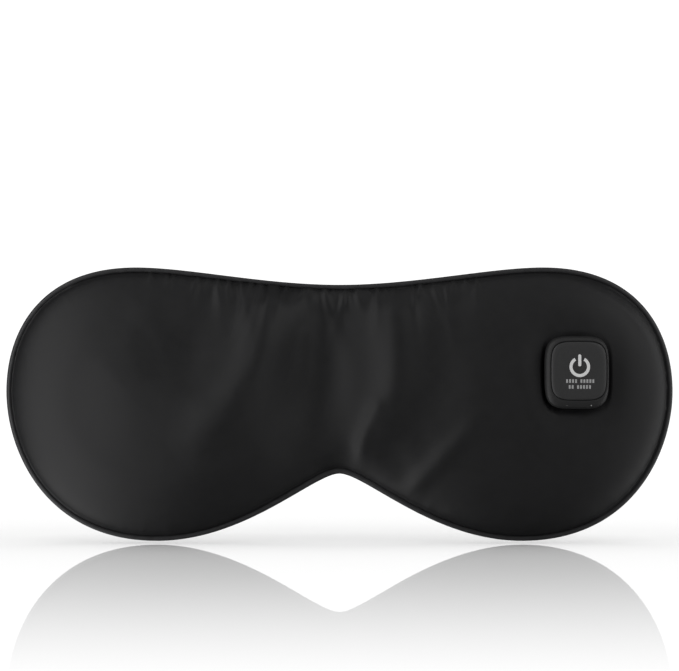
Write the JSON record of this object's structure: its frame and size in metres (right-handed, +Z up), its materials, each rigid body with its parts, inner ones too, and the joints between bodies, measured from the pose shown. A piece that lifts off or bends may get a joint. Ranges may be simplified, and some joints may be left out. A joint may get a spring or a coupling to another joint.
{
  "type": "eye massager mask",
  "caption": "Padded satin eye massager mask with heat, vibration motors, a press-button controller and an adjustable elastic head strap.",
  "frame": {"origin": "on the flat middle of the face side of the mask, on its plane of symmetry, level with the middle of the outline's height", "axes": "+X towards the controller's end of the mask, +Y towards the wearer's face and head, +Z up"},
  "size_m": [0.2292, 0.1286, 0.0941],
  "materials": {
    "black_satin": "smooth satin weave with a soft sheen",
    "satin_piping": "rolled satin piping",
    "white_wadding": "soft needled wadding",
    "black_webbing": "ribbed woven elastic",
    "black_shell": "fine satin moulded",
    "dark_plastic": "matte moulded",
    "symbol_print": "light grey inlay",
    "green_board": "solder-masked glass epoxy",
    "red_stem": "moulded",
    "lamp_lens": "milky lens",
    "polished_steel": "bright plated",
    "heavy_alloy": "sintered dense alloy",
    "grey_silicone": "soft silicone",
    "heater_film": "printed carbon film",
    "copper_pad": "tinned copper",
    "foil_pouch": "matte foil pouch",
    "sensor_resin": "epoxy bead",
    "cutoff_ceramic": "glazed ceramic",
    "blue_sheath": "silicone wire sheath",
    "red_sheath": "silicone wire sheath",
    "grey_sheath": "silicone wire sheath",
    "black_sheath": "silicone wire sheath"
  },
  "bodies": {
    "mask": {"front_cover": "black_satin", "back_cover": "black_satin", "edge_piping": "satin_piping", "front_padding": "white_wadding", "back_padding": "white_wadding", "heating_film": "heater_film", "controller_housing": "black_shell", "circuit_board": "green_board", "tactile_switch": "dark_plastic", "control_chip": "dark_plastic", "indicator_led": "lamp_lens", "usb_socket_shell": "polished_steel", "usb_socket_tongue": "dark_plastic", "inner_clamp_shell": "black_shell", "clamp_screw_1": "polished_steel", "clamp_screw_2": "polished_steel", "clamp_screw_3": "polished_steel", "clamp_screw_4": "polished_steel", "battery_cell": "foil_pouch", "film_terminal": "copper_pad", "temperature_sensor": "sensor_resin", "thermal_cutoff": "cutoff_ceramic", "left_motor_lead": "blue_sheath", "right_motor_lead": "red_sheath", "heater_lead": "grey_sheath", "battery_lead": "black_sheath", "long_strap": "black_webbing", "short_strap": "black_webbing", "strap_ring": "polished_steel", "strap_return_layer": "black_webbing", "left_motor_case": "polished_steel", "left_motor_lid": "polished_steel", "left_motor_shaft": "polished_steel", "left_motor_sleeve": "grey_silicone", "right_motor_case": "polished_steel", "right_motor_lid": "polished_steel", "right_motor_shaft": "polished_steel", "right_motor_sleeve": "grey_silicone"},
    "button": {"button_cap": "black_shell", "power_symbol_ring": "symbol_print", "power_symbol_bar": "symbol_print", "switch_stem": "red_stem"},
    "slider": {"strap_slider": "dark_plastic", "strap_end_loop": "black_webbing"},
    "left_weight": {"left_motor_weight": "heavy_alloy"},
    "right_weight": {"right_motor_weight": "heavy_alloy"}
  },
  "joints": [
    {"name": "button_press", "type": "slide", "parent": "mask", "child": "button", "axis": [0, 1, 0], "range_m": [0, 0.0004], "stiffness_N_per_m": 4000},
    {"name": "slider_slide", "type": "slide", "parent": "mask", "child": "slider", "axis": [1, 0, 0], "range_m": [-0.04, 0], "deforming": ["strap_return_layer"]},
    {"name": "left_motor_spin", "type": "hinge", "parent": "mask", "child": "left_weight", "pos_m": [-0.04, -0.0101, 0.012], "axis": [0, 1, 0], "continuous": true},
    {"name": "right_motor_spin", "type": "hinge", "parent": "mask", "child": "right_weight", "pos_m": [0.04, -0.0101, 0.012], "axis": [0, 1, 0], "continuous": true}
  ]
}
